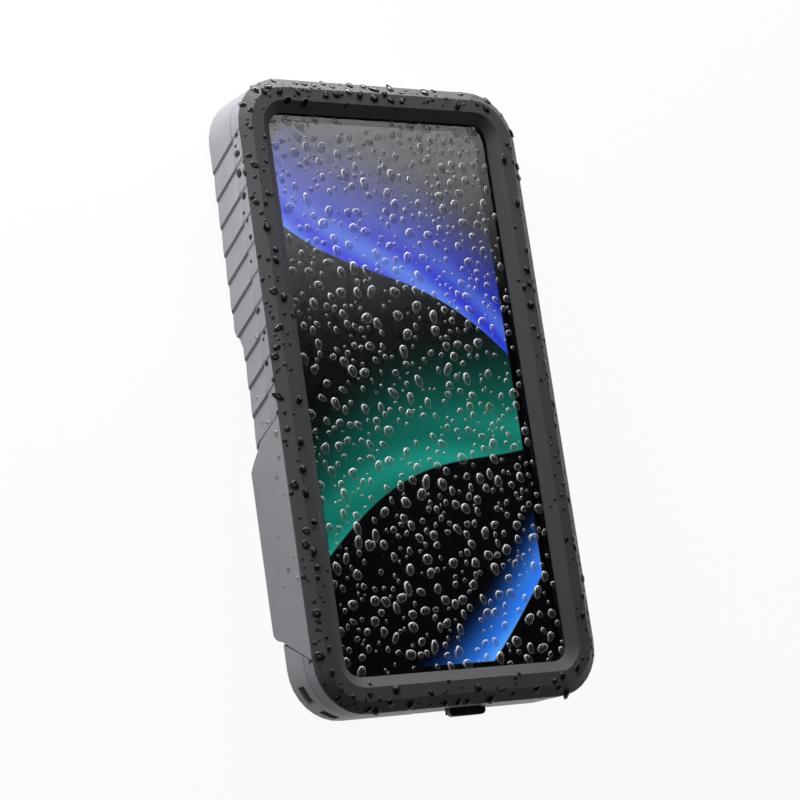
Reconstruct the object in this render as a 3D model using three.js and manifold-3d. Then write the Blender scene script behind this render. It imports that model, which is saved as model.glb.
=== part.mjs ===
// A universal waterproof phone case that lies on its back, in millimetres, +Z up.
// A deep rear shell holds the phone on foam. A front frame with a clear window closes it on a gasket,
// hinged along the right side and held by a long clasp on the left. A flap in the bottom wall covers the port.
// Everything is drawn about the middle of the front frame, and the whole is then moved so that the origin
// is the middle of its footprint. +Y points to the top end of the phone.
import * as THREE from "three";
import { mergeVertices } from "three/addons/utils/BufferGeometryUtils.js";
import Module from "manifold-3d";

const wasm = await Module();
wasm.setup();

// The largest phone that the case takes, and the room round it
const phoneWidth = 78;
const phoneLength = 162;
const phoneThickness = 7.6;
const phoneCorner = 10;
const phoneEdge = 1.6;
const phoneFrontEdge = 0.5;
const phoneUnderWindow = 1;
const displayBorder = 0.8;
const displayThickness = 0.8;
const sidePadWidth = 4.5;
const topPadLength = 5.8;
const portRoom = 4.4; // between the phone's lower end and the wall with the port

// Overall sizes
const cornerRadius = 15;
const gap = 0.3; // between pieces that touch
const overlap = 0.5; // how far a part of a piece reaches into the one that it is joined to
const beyond = 1; // how far a cutter passes the surface that it cuts

// Front frame
const chamferWidth = 3.1;
const chamferDepth = 2.2;
const landWidth = 3.8;
const bezelWidth = 3.1;
const bezelDepth = 2.2;
const lipEdge = 0.8;
const skirtDepth = 6.5; // from the land down to the seam
const skirtWall = 3;
const skirtProud = 0.1; // the skirt stands proud of the shell

// Window and its retainer
const windowThickness = 1;
const retainerThickness = 1;
const retainerWidth = 3.7;
const retainerChamfer = 0.4;

// Rear shell
const shellWall = 2.8;
const floorThickness = 1.8;
const backHeight = 4.9; // the lower part of the back above the surface
const humpHeight = 1.5; // the raised upper part of the back above the surface
const humpStart = 21.3; // where the hump has its full height
const humpSlope = 5.9; // length of its slanted end
const backEdgeRadius = 0.5;
const rimWidth = 5.2;
const rimThickness = 1.8;
const rimSlope = 2;
const seamGap = 0.4; // between the shell's rim and the skirt
const floorFillet = 1;
const pocketInset = 2; // from the bay's side to the side of the pocket in the hump

// Gasket
const gasketWidth = 0.8;
const gasketBulb = 1.5;
const gasketDepth = 0.7;
const gasketSet = 0.5; // from the inside of the skirt

// Slanted ribs on both side walls
const ribPitch = 8.15;
const ribCount = 10;
const ribInset = 17.8; // from the top end to the first rib, at the reference height
const ribLean = 0.46; // how far a rib runs along the length for each millimetre of height
const ribReference = 13.1;
const ribStep = 0.6; // length of the soft step at the foot of each rib
const shellRibDepth = 0.6;
const skirtRibDepth = 0.3;

// Frame hinge on the right side
const hingeOut = 0.4; // the pin's axis outside the skirt's face
const hingeDrop = 0.15; // and below the seam
const knuckleRadius = 2.2;
const hingePinRadius = 0.8;
const hingeSpread = 52;
const frameKnuckleLength = 9;
const shellKnuckleLength = 5;
const pinClearance = 0.25;
const pinFit = 0.1; // where a pin is held fast

// Side clasp on the left side
const claspThickness = 1.8;
const claspLevel = 0.3; // its foot above the surface
const claspFootRadius = 2.15;
const claspPinInset = 3.2; // from the outer face to the pin
const claspCorner = 0.8;
const claspOffset = 0.9; // its upper end lies this far past the line of the next rib
const claspBend = 7.5; // height at which that end starts to curve to the foot
const claspUpperRound = 9.5; // length of the curve
const claspEndInset = 23; // from the bottom end to its lower end, at the height of the shell's back
const claspLowerRound = 4.6;
const claspFlare = 0.53; // its lower end widens by this for each millimetre of height
const claspPinRadius = 0.8;
const claspSwings = [9, 18, 27]; // degrees at which its recess is cut again, for its ends to pass
const lugRadius = 1.55;
const lugWidth = 6;
const lugInset = 7.562; // from each end of the clasp's foot to the middle of a lug
const lugNeck = 2.2;

// Port flap in the bottom wall
const flapCentre = 3.6;
const flapHalfWidth = 13;
const flapTop = 13.1;
const flapThickness = 1.2;
const flapPinRadius = 0.5;
const flapPinHeight = 6.2;
const flapBarrelRadius = 1.2;
const flapPinGrip = 2;
const sealRim = 0.8;
const sealBase = 0.6;
const portHalfWidth = 6.7;
const portBottom = 7.7;
const portTop = 12.8;
const plugDepth = 1.5;
const plugTop = 12;
const tabHalfWidth = 6.2;
const tabThickness = 1.5;
const tabTop = 14.1;
const tabReach = 2.5;
const tabRound = 1.4;
const tabRootHeight = 1.2;
const portBossHalf = 18;
const portBossDepth = 1.4;

// Lanyard bar in the lower left corner
const lanyardHeight = 9.6;
const lanyardAngles = [31, 66];
const lanyardLength = 5.4;
const lanyardSlot = 2.9;
const lanyardBar = 2.6;
const lanyardTunnel = 3;
const lanyardWall = 1.8;
const lanyardBossAngles = [2, 88];

// Mount plate on the back
const plateWidth = 46;
const plateLength = 50;
const plateCentre = -11;
const plateCorner = 9;
const plateEdge = 0.8;
const socketRadius = 13;
const socketDepth = 3.4;
const socketLip = 1.2;
const socketThroat = 10.4;
const socketTabs = 3;
const socketTabAngle = 46;
const screwInset = 6; // from the plate's sides to its screws
const screwHeadRadius = 2.4;
const screwHeadHeight = 1.4;
const screwSunk = 0.4;
const screwShankRadius = 1.1;
const screwLength = 6.5;
const screwPoint = 0.6;
const driveRadius = 1;
const driveDepth = 0.8;
const bossRadius = 2.8;

// Foam round the phone
const sidePadLength = 35;
const sidePadInset = 39; // from the phone's end to the middle of a side pad
const topPadWidth = 12;
const topPadInset = 10; // from the phone's side to the middle of a top pad
const padHeight = 3.2;
const padCorner = 1.5;
const foamThickness = 0.9; // of the sheet between the phone and the floor
const foamInset = 1; // the foam under the phone stops this far inside its outline
const foamStepGap = 1; // between the two sheets of foam and the step of the back

// Sizes, heights and insets that follow from the sizes above
const cavityInset = skirtProud + shellWall;
const sideRoom = gap + sidePadWidth + gap + floorFillet + cavityInset;
const topRoom = gap + topPadLength + gap + floorFillet + cavityInset;
const bottomRoom = portRoom + portBossDepth + cavityInset;
const caseWidth = phoneWidth + 2 * sideRoom;
const caseLength = phoneLength + topRoom + bottomRoom;
const phoneCentre = (bottomRoom - topRoom) / 2;
const halfWidth = caseWidth / 2;
const halfLength = caseLength / 2;
const floorTop = backHeight + floorThickness;
const foamTop = floorTop + gap + foamThickness;
const phoneBottom = foamTop + gap;
const phoneTop = phoneBottom + phoneThickness;
const windowBottom = phoneTop + phoneUnderWindow;
const windowTop = windowBottom + windowThickness;
const lipBottom = windowTop + gap;
const lipTop = lipBottom + lipEdge;
const landHeight = lipTop + bezelDepth; // the front face above the surface that the case lies on
const seamHeight = landHeight - skirtDepth;
const creaseHeight = landHeight - chamferDepth;
const bezelInset = chamferWidth + landWidth + bezelWidth;
const retainerTop = windowBottom - gap;
const retainerBottom = retainerTop - retainerThickness;
const rimTop = seamHeight - seamGap;
const mouthInset = skirtProud + rimWidth;
const rimUnderside = rimTop - rimThickness;
const hingeX = halfWidth + hingeOut;
const hingeZ = seamHeight - hingeDrop;
const claspPinX = -halfWidth + claspPinInset;
const claspPinZ = claspLevel + claspFootRadius;
const claspInner = -halfWidth + claspThickness;
const claspTopEdge = creaseHeight - gap;
const wallFace = -halfLength + skirtProud; // outer face of the shell's bottom wall
const flapInner = wallFace + flapThickness;
const recessFloor = flapInner + gap + sealBase + gap;
const flapRise = flapTop - flapPinHeight;
const portInner = wallFace + shellWall + portBossDepth;
const ribTop = halfLength - ribInset;
const ribEnd = ribTop - ribPitch * ribCount;
const claspStart = ribEnd - claspOffset;
const claspEnd = -halfLength + claspEndInset;
const claspRise = (z) => claspStart + ribLean * (z - ribReference);
const claspFootTop = claspRise(claspBend) - claspUpperRound;
const claspFootEnd = claspEnd + claspLowerRound;
const claspMiddle = (claspFootTop + claspFootEnd) / 2;
const lugPlaces = [claspFootTop - lugInset, claspFootEnd + lugInset];
const screwSpreadX = plateWidth / 2 - screwInset;
const screwSpreadY = plateLength / 2 - screwInset;
const hingePinLength = frameKnuckleLength + 2 * (gap + shellKnuckleLength);
const gasketInset = skirtWall + gap + gasketSet;

const FINE = 24;
const ARC = 8;

const paint = (color, roughness, metalness = 0) =>
  new THREE.MeshStandardMaterial({ color, roughness, metalness });
const shellPlastic = paint(0x6f7078, 0.5);
const framePlastic = paint(0x3c3d41, 0.55);
const blackRubber = paint(0x111113, 0.6);
const foam = paint(0x2a2b2e, 0.9);
const steel = paint(0xb9bcc2, 0.3, 1);
const clearPanel = new THREE.MeshStandardMaterial({
  color: 0xdfe6ea,
  roughness: 0.05,
  transparent: true,
  opacity: 0.25,
});
const phoneShell = paint(0x24262c, 0.35, 0.4);
const displayGlass = paint(0x0b1430, 0.1);

// A closed geometry as a solid. Shared vertices are merged, and a surface that faces inwards is turned round.
function solid(geometry, matrix) {
  const flat = (geometry.index ? geometry.toNonIndexed() : geometry).clone();
  flat.deleteAttribute("normal");
  flat.deleteAttribute("uv");
  if (matrix) flat.applyMatrix4(matrix);
  const merged = mergeVertices(flat, 1e-4);
  const build = (triangles) =>
    new wasm.Manifold(
      new wasm.Mesh({
        numProp: 3,
        vertProperties: merged.attributes.position.array,
        triVerts: triangles,
      }),
    );
  const triangles = new Uint32Array(merged.index.array);
  const made = build(triangles);
  return made.volume() < 0 ? build(triangles.reverse()) : made;
}

const join = (...solids) => solids.reduce((whole, next) => whole.add(next));
const cut = (body, ...tools) =>
  tools.reduce((rest, tool) => rest.subtract(tool), body);

// A rectangle with round corners, as a shape.
function roundedShape(halfX, halfY, radius) {
  const r = Math.max(0.2, Math.min(radius, halfX - 0.1, halfY - 0.1));
  const shape = new THREE.Shape();
  shape.absarc(halfX - r, halfY - r, r, 0, Math.PI / 2);
  shape.absarc(-halfX + r, halfY - r, r, Math.PI / 2, Math.PI);
  shape.absarc(-halfX + r, -halfY + r, r, Math.PI, Math.PI * 1.5);
  shape.absarc(halfX - r, -halfY + r, r, Math.PI * 1.5, Math.PI * 2);
  shape.closePath();
  return shape;
}

// The corner points of that rectangle, ARC steps to each round corner.
function roundedPoints(halfX, halfY, radius) {
  const r = Math.max(0.2, Math.min(radius, halfX - 0.1, halfY - 0.1));
  const points = [];
  for (let corner = 0; corner < 4; corner++) {
    const sx = corner === 0 || corner === 3 ? 1 : -1;
    const sy = corner < 2 ? 1 : -1;
    for (let step = 0; step <= ARC; step++) {
      const angle = ((corner + step / ARC) * Math.PI) / 2;
      points.push(
        new THREE.Vector2(
          sx * (halfX - r) + r * Math.cos(angle),
          sy * (halfY - r) + r * Math.sin(angle),
        ),
      );
    }
  }
  return points;
}

const casePoints = (inset) =>
  roundedPoints(halfWidth - inset, halfLength - inset, cornerRadius - inset);

// Joins rings of equal length into one skin. A closed loop of rings makes a frame, an open one gets two end faces.
function skin(rings, heights, closed) {
  const count = rings[0].length;
  const positions = rings.flatMap((ring, i) =>
    ring.flatMap((p) => [p.x, p.y, heights[i]]),
  );
  const index = [];
  const last = closed ? rings.length : rings.length - 1;
  for (let i = 0; i < last; i++) {
    const a = i * count;
    const b = ((i + 1) % rings.length) * count;
    for (let j = 0; j < count; j++) {
      const k = (j + 1) % count;
      index.push(a + j, a + k, b + k, a + j, b + k, b + j);
    }
  }
  if (!closed) {
    const top = (rings.length - 1) * count;
    for (const [p, q, r] of THREE.ShapeUtils.triangulateShape(rings[0], []))
      index.push(r, q, p);
    for (const [p, q, r] of THREE.ShapeUtils.triangulateShape(rings.at(-1), []))
      index.push(top + p, top + q, top + r);
  }
  const geometry = new THREE.BufferGeometry();
  geometry.setAttribute(
    "position",
    new THREE.Float32BufferAttribute(positions, 3),
  );
  geometry.setIndex(index);
  return geometry;
}

// A section of [inset, height] points swept round the case's outline.
const sweepRound = (section) =>
  solid(
    skin(
      section.map(([inset]) => casePoints(inset)),
      section.map(([, height]) => height),
      true,
    ),
  );

// A solid lofted through the case's outline at rising [inset, height] levels.
const loftCase = (levels) =>
  solid(
    skin(
      levels.map(([inset]) => casePoints(inset)),
      levels.map(([, height]) => height),
      false,
    ),
  );

// A rounded block from bottom to top, whose lower and upper edges can be broken by a chamfer.
function block(size, centre, radius, lowEdge = 0, highEdge = 0) {
  const [width, length, height] = size;
  const [x, y, bottom] = centre;
  const levels = [[lowEdge, bottom]];
  if (lowEdge) levels.push([0, bottom + lowEdge]);
  if (highEdge) levels.push([0, bottom + height - highEdge]);
  levels.push([highEdge, bottom + height]);
  const rings = levels.map(([inset]) =>
    roundedPoints(width / 2 - inset, length / 2 - inset, radius - inset),
  );
  return solid(
    skin(
      rings,
      levels.map(([, level]) => level),
      false,
    ),
    new THREE.Matrix4().makeTranslation(x, y, 0),
  );
}

const box = (low, high) =>
  solid(
    new THREE.BoxGeometry(high[0] - low[0], high[1] - low[1], high[2] - low[2]),
    new THREE.Matrix4().makeTranslation(
      (low[0] + high[0]) / 2,
      (low[1] + high[1]) / 2,
      (low[2] + high[2]) / 2,
    ),
  );

const extruded = (shape, depth, segments) =>
  new THREE.ExtrudeGeometry(shape, {
    depth,
    bevelEnabled: false,
    curveSegments: segments,
  });

// A shape drawn in X and Y, from one height to another.
const prismZ = (shape, low, high, segments = ARC) =>
  solid(
    extruded(shape, high - low, segments),
    new THREE.Matrix4().makeTranslation(0, 0, low),
  );

// A shape drawn in Y and Z, from one X to another.
const prismX = (shape, low, high, segments = ARC) =>
  solid(
    extruded(shape, high - low, segments),
    new THREE.Matrix4()
      .makeBasis(
        new THREE.Vector3(0, 1, 0),
        new THREE.Vector3(0, 0, 1),
        new THREE.Vector3(1, 0, 0),
      )
      .setPosition(low, 0, 0),
  );

// A shape drawn in X and Z, from one Y to another.
const prismY = (shape, low, high, segments = ARC) =>
  solid(
    extruded(shape, high - low, segments),
    new THREE.Matrix4()
      .makeBasis(
        new THREE.Vector3(1, 0, 0),
        new THREE.Vector3(0, 0, 1),
        new THREE.Vector3(0, -1, 0),
      )
      .setPosition(0, high, 0),
  );

// Round bars along Y, X and Z.
function bar(radius, length, centre, turn, segments) {
  const matrix = new THREE.Matrix4()
    .makeRotationFromEuler(new THREE.Euler(...turn))
    .setPosition(...centre);
  return solid(
    new THREE.CylinderGeometry(radius, radius, length, segments),
    matrix,
  );
}
const barY = (radius, length, centre, segments = FINE) =>
  bar(radius, length, centre, [0, 0, 0], segments);
const barX = (radius, length, centre, segments = FINE) =>
  bar(radius, length, centre, [0, 0, Math.PI / 2], segments);
const barZ = (radius, low, high, x, y, segments = FINE) =>
  bar(
    radius,
    high - low,
    [x, y, (low + high) / 2],
    [Math.PI / 2, 0, 0],
    segments,
  );

// The sawtooth that cuts the slanted ribs into one side wall. Each tooth starts in a soft step that faces the
// bottom end and runs out to the full wall at the next one.
function ribCutter(side, face, depth, low, high) {
  const tooth = new THREE.Shape();
  const outside = side * (face + 2 * beyond);
  tooth.moveTo(outside, ribTop);
  for (let rib = 0; rib < ribCount; rib++) {
    const place = ribTop - rib * ribPitch;
    tooth.lineTo(side * face, place);
    tooth.lineTo(side * (face - depth), place - ribStep);
  }
  tooth.lineTo(side * face, ribEnd);
  tooth.lineTo(outside, ribEnd);
  tooth.closePath();
  const shear = new THREE.Matrix4().set(
    ...[1, 0, 0, 0],
    ...[0, 1, ribLean, -ribLean * ribReference],
    ...[0, 0, 1, 0],
    ...[0, 0, 0, 1],
  );
  const rise = new THREE.Matrix4().makeTranslation(0, 0, low);
  return solid(extruded(tooth, high - low, 1), shear.multiply(rise));
}

// The clasp's outline seen from the side, in Y and Z, grown by a margin. Its upper end lies along the line
// of a rib and curves down to the foot. Its lower end is flared and turns into the foot more tightly.
function claspSide(grow) {
  const low = claspLevel - grow;
  const high = claspTopEdge + grow;
  const upper = (z) => claspRise(z) + grow;
  const lower = (z) => claspEnd - claspFlare * (z - backHeight) - grow;
  const bend = upper(claspBend);
  const end = lower(backHeight);
  const shape = new THREE.Shape();
  shape.moveTo(upper(high), high);
  shape.lineTo(bend, claspBend);
  shape.bezierCurveTo(
    bend - 0.38 * claspUpperRound,
    claspBend - 0.35 * (claspBend - low),
    bend - 0.63 * claspUpperRound,
    low,
    bend - claspUpperRound,
    low,
  );
  shape.lineTo(end + claspLowerRound, low);
  shape.bezierCurveTo(
    end + 0.43 * claspLowerRound,
    low,
    end + 0.09 * claspLowerRound,
    low + 0.4 * (backHeight - low),
    end,
    backHeight,
  );
  shape.lineTo(lower(high), high);
  shape.closePath();
  return shape;
}

// The arch of the port flap, grown by a margin, in X and Z about its pin.
function arch(grow, bottom) {
  const shape = new THREE.Shape();
  shape.moveTo(flapCentre + flapHalfWidth + grow, bottom);
  shape.lineTo(flapCentre + flapHalfWidth + grow, flapPinHeight);
  shape.absellipse(
    flapCentre,
    flapPinHeight,
    flapHalfWidth + grow,
    flapRise + grow,
    0,
    Math.PI,
  );
  shape.lineTo(flapCentre - flapHalfWidth - grow, bottom);
  shape.closePath();
  return shape;
}

// A part of a flat ring about a corner's centre, between two angles from -X towards -Y.
function cornerSector(centre, inner, outer, from, to, low, high) {
  const point = (radius, degrees) => {
    const angle = THREE.MathUtils.degToRad(180 + degrees);
    return new THREE.Vector2(
      centre.x + radius * Math.cos(angle),
      centre.y + radius * Math.sin(angle),
    );
  };
  const points = [];
  for (let step = 0; step <= ARC; step++)
    points.push(point(outer, from + ((to - from) * step) / ARC));
  for (let step = ARC; step >= 0; step--)
    points.push(point(inner, from + ((to - from) * step) / ARC));
  return prismZ(new THREE.Shape(points), low, high);
}

const hingePlaces = [hingeSpread, -hingeSpread];
const shellKnuckleOffset =
  frameKnuckleLength / 2 + gap + shellKnuckleLength / 2;

const shellCorner = new THREE.Vector2(
  -halfWidth + cornerRadius,
  -halfLength + cornerRadius,
);
const shellRadius = cornerRadius - skirtProud;

// The two slots in the corner wall and the tunnel that joins them behind the bar.
function lanyardCutters() {
  const low = lanyardHeight - lanyardSlot / 2;
  const high = lanyardHeight + lanyardSlot / 2;
  const inner = shellRadius - lanyardBar - lanyardTunnel;
  const half = THREE.MathUtils.radToDeg(lanyardLength / 2 / shellRadius);
  const slots = lanyardAngles.map((angle) =>
    cornerSector(
      shellCorner,
      inner,
      shellRadius + beyond,
      angle - half,
      angle + half,
      low,
      high,
    ),
  );
  const tunnel = cornerSector(
    shellCorner,
    inner,
    shellRadius - lanyardBar,
    lanyardAngles[0] - half,
    lanyardAngles[1] + half,
    low,
    high,
  );
  return [...slots, tunnel];
}

function outerShell() {
  const edge = [
    [skirtProud + backEdgeRadius, 0],
    [skirtProud + backEdgeRadius * 0.3, backEdgeRadius * 0.3],
    [skirtProud, backEdgeRadius],
  ];
  const base = loftCase([
    ...edge.map(([inset, z]) => [inset, backHeight + z]),
    [skirtProud, rimTop],
  ]);
  const hump = loftCase([
    ...edge.map(([inset, z]) => [inset, humpHeight + z]),
    [skirtProud, backHeight + backEdgeRadius * 2],
  ]);
  const slope = humpSlope / (backHeight - humpHeight);
  const step = new THREE.Shape([
    new THREE.Vector2(humpStart + slope * (humpHeight + beyond), -beyond),
    new THREE.Vector2(humpStart - humpSlope, backHeight),
    new THREE.Vector2(humpStart - humpSlope, rimTop),
    new THREE.Vector2(-caseLength, rimTop),
    new THREE.Vector2(-caseLength, -beyond),
  ]);
  return base.add(cut(hump, prismX(step, -caseWidth, caseWidth)));
}

function shellCavity() {
  const main = loftCase([
    [cavityInset + floorFillet, floorTop],
    [cavityInset, floorTop + floorFillet],
    [cavityInset, rimUnderside - rimSlope],
    [mouthInset, rimUnderside],
    [mouthInset, rimTop + beyond],
  ]);
  const low = humpStart + shellWall;
  const high = halfLength - cavityInset - floorFillet;
  const pocket = block(
    [
      2 * (halfWidth - cavityInset - pocketInset),
      high - low,
      floorTop - humpHeight - floorThickness + overlap,
    ],
    [0, (low + high) / 2, humpHeight + floorThickness],
    cornerRadius - cavityInset - pocketInset,
  );
  return main.add(pocket);
}

const plateScrews = [
  [screwSpreadX, screwSpreadY],
  [-screwSpreadX, screwSpreadY],
  [-screwSpreadX, -screwSpreadY],
  [screwSpreadX, -screwSpreadY],
].map(([x, y]) => new THREE.Vector2(x, plateCentre + y));

// Where the flap's barrel turns, open to the back edge of the shell.
function flapPocket() {
  const half = flapHalfWidth + gap;
  const reach = flapBarrelRadius + gap;
  return [
    prismY(arch(gap, flapPinHeight), wallFace - beyond, recessFloor, FINE),
    barX(reach, 2 * half, [flapCentre, flapInner, flapPinHeight]),
    box(
      [flapCentre - half, wallFace - beyond, backHeight - beyond],
      [flapCentre + half, flapInner + reach, flapPinHeight],
    ),
    barX(flapPinRadius + pinFit, 2 * (half + flapPinGrip), [
      flapCentre,
      flapInner,
      flapPinHeight,
    ]),
    box(
      [flapCentre - portHalfWidth, recessFloor - beyond, portBottom],
      [flapCentre + portHalfWidth, portInner + beyond, portTop],
    ),
  ];
}

function rearShell() {
  let body = cut(outerShell(), shellCavity());
  const bosses = plateScrews.map((p) =>
    barZ(bossRadius, floorTop - overlap, foamTop, p.x, p.y),
  );
  const portBoss = box(
    [flapCentre - portBossHalf, wallFace + shellWall - overlap, floorTop - overlap],
    [flapCentre + portBossHalf, portInner, rimUnderside + overlap],
  );
  const lanyardInner = shellRadius - lanyardBar - lanyardTunnel - lanyardWall;
  const lanyardBoss = cornerSector(
    shellCorner,
    lanyardInner,
    shellRadius - shellWall + overlap,
    ...lanyardBossAngles,
    floorTop - overlap,
    rimUnderside + overlap,
  );
  const lugs = lugPlaces.map((y) =>
    join(
      barY(lugRadius, lugWidth, [claspPinX, y, claspPinZ]),
      box(
        [claspPinX - lugNeck / 2, y - lugWidth / 2, claspPinZ],
        [claspPinX + lugNeck / 2, y + lugWidth / 2, backHeight + overlap],
      ),
    ),
  );
  const knuckles = hingePlaces.flatMap((y) =>
    [-1, 1].map((side) =>
      barY(knuckleRadius, shellKnuckleLength, [
        hingeX,
        y + side * shellKnuckleOffset,
        hingeZ,
      ]),
    ),
  );
  const ribs = [-1, 1].map((side) =>
    ribCutter(side, halfWidth - skirtProud, shellRibDepth, -beyond, rimTop + beyond),
  );
  const claspRecess = prismX(
    claspSide(gap),
    -halfWidth - beyond,
    claspInner + gap,
    FINE,
  );
  const claspSwept = claspSwings.map((degrees) =>
    claspRecess
      .translate([-claspPinX, 0, -claspPinZ])
      .rotate([0, -degrees, 0])
      .translate([claspPinX, 0, claspPinZ]),
  );
  body = cut(body, ...ribs, claspRecess, ...claspSwept);
  body = join(body, ...bosses, portBoss, lanyardBoss, ...lugs);
  const frameKnuckleRelief = hingePlaces.map((y) =>
    barY(knuckleRadius + gap, frameKnuckleLength + 2 * gap, [
      hingeX,
      y,
      hingeZ,
    ]),
  );
  body = join(cut(body, ...frameKnuckleRelief), ...knuckles);
  const pinBores = [
    ...hingePlaces.map((y) =>
      barY(hingePinRadius + pinClearance, hingePinLength + 2 * beyond, [
        hingeX,
        y,
        hingeZ,
      ]),
    ),
    barY(claspPinRadius + pinClearance, claspFootTop - claspFootEnd, [
      claspPinX,
      claspMiddle,
      claspPinZ,
    ]),
  ];
  const grooveFloor = rimTop - gasketDepth - gap;
  const groove = sweepRound([
    [gasketInset - gap, grooveFloor],
    [gasketInset + gasketWidth + gap, grooveFloor],
    [gasketInset + gasketWidth + gap, rimTop + beyond],
    [gasketInset - gap, rimTop + beyond],
  ]);
  const screwHoles = plateScrews.map((p) =>
    barZ(
      screwShankRadius + pinClearance,
      backHeight - beyond,
      screwSunk + screwLength + gap,
      p.x,
      p.y,
      ARC * 2,
    ),
  );
  return cut(
    body,
    ...pinBores,
    groove,
    ...screwHoles,
    ...flapPocket(),
    ...lanyardCutters(),
  );
}

function frontFrame() {
  let body = sweepRound([
    [0, seamHeight],
    [0, creaseHeight],
    [chamferWidth, landHeight],
    [chamferWidth + landWidth, landHeight],
    [bezelInset, lipTop],
    [bezelInset, lipBottom],
    [skirtWall, lipBottom],
    [skirtWall, seamHeight],
  ]);
  const ribs = [-1, 1].map((side) =>
    ribCutter(side, halfWidth, skirtRibDepth, seamHeight - beyond, creaseHeight),
  );
  const recess = prismX(
    claspSide(gap),
    -halfWidth - beyond,
    claspInner + gap,
    FINE,
  );
  const shellKnuckleRelief = hingePlaces.flatMap((y) =>
    [-1, 1].map((side) =>
      barY(knuckleRadius + gap, shellKnuckleLength + 2 * gap, [
        hingeX,
        y + side * shellKnuckleOffset,
        hingeZ,
      ]),
    ),
  );
  body = cut(body, ...ribs, recess, ...shellKnuckleRelief);
  const knuckles = hingePlaces.map((y) =>
    barY(knuckleRadius, frameKnuckleLength, [hingeX, y, hingeZ]),
  );
  const bores = hingePlaces.map((y) =>
    barY(hingePinRadius + pinClearance, hingePinLength, [hingeX, y, hingeZ]),
  );
  return cut(join(body, ...knuckles), ...bores);
}

const windowPanel = () =>
  loftCase([
    [skirtWall + gap, windowBottom],
    [skirtWall + gap, windowTop],
  ]);

const windowRetainer = () =>
  sweepRound([
    [skirtWall + gap, retainerBottom],
    [skirtWall + gap, retainerTop],
    [skirtWall + gap + retainerWidth, retainerTop],
    [skirtWall + gap + retainerWidth, retainerBottom + retainerChamfer],
    [skirtWall + gap + retainerWidth - retainerChamfer, retainerBottom],
  ]);

// A stem that sits in the groove of the rim and a wider bulb that the retainer presses.
function gasket() {
  const low = rimTop - gasketDepth;
  const top = retainerBottom - gap;
  const shoulder = rimTop + gap;
  const spread = (gasketBulb - gasketWidth) / 2;
  return sweepRound([
    [gasketInset, low],
    [gasketInset, shoulder],
    [gasketInset - spread, shoulder],
    [gasketInset - spread, top - spread],
    [gasketInset, top],
    [gasketInset + gasketWidth, top],
    [gasketInset + gasketWidth + spread, top - spread],
    [gasketInset + gasketWidth + spread, shoulder],
    [gasketInset + gasketWidth, shoulder],
    [gasketInset + gasketWidth, low],
  ]);
}

function sideClasp() {
  const profile = new THREE.Shape();
  const outer = -halfWidth;
  profile.moveTo(outer, claspTopEdge);
  profile.lineTo(outer, claspLevel + claspCorner);
  profile.absarc(
    outer + claspCorner,
    claspLevel + claspCorner,
    claspCorner,
    Math.PI,
    Math.PI * 1.5,
  );
  profile.absarc(
    claspPinX,
    claspPinZ,
    claspFootRadius,
    -Math.PI / 2,
    Math.PI / 2,
  );
  profile.lineTo(claspInner, claspPinZ + claspFootRadius);
  profile.lineTo(claspInner, claspTopEdge);
  profile.closePath();
  const sweep = prismY(profile, -halfLength, halfLength);
  const side = prismX(
    claspSide(0),
    outer - beyond,
    claspPinX + claspFootRadius + beyond,
    FINE,
  );
  const lugGaps = lugPlaces.map((y) =>
    box(
      [
        claspPinX - lugRadius - gap,
        y - lugWidth / 2 - gap,
        claspLevel - beyond,
      ],
      [
        claspPinX + claspFootRadius + beyond,
        y + lugWidth / 2 + gap,
        claspPinZ + claspFootRadius + beyond,
      ],
    ),
  );
  const bore = barY(claspPinRadius + pinClearance, caseLength, [
    claspPinX,
    claspMiddle,
    claspPinZ,
  ]);
  return cut(sweep.intersect(side), ...lugGaps, bore);
}

// The flap's rigid cover. It is notched at its top for the root of the pull tab.
function portFlap() {
  const inset = -(sealRim + gap);
  const half = flapHalfWidth + inset;
  const plate = prismY(arch(inset, flapPinHeight), wallFace, flapInner, FINE);
  const barrel = barX(flapBarrelRadius, 2 * half, [
    flapCentre,
    flapInner,
    flapPinHeight,
  ]);
  const notch = box(
    [
      flapCentre - tabHalfWidth - gap,
      wallFace - beyond,
      flapTop - tabRootHeight - gap,
    ],
    [flapCentre + tabHalfWidth + gap, flapInner + beyond, flapTop + beyond],
  );
  const bore = barX(flapPinRadius + pinClearance, 3 * half, [
    flapCentre,
    flapInner,
    flapPinHeight,
  ]);
  return cut(join(cut(plate, notch), barrel), bore);
}

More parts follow.
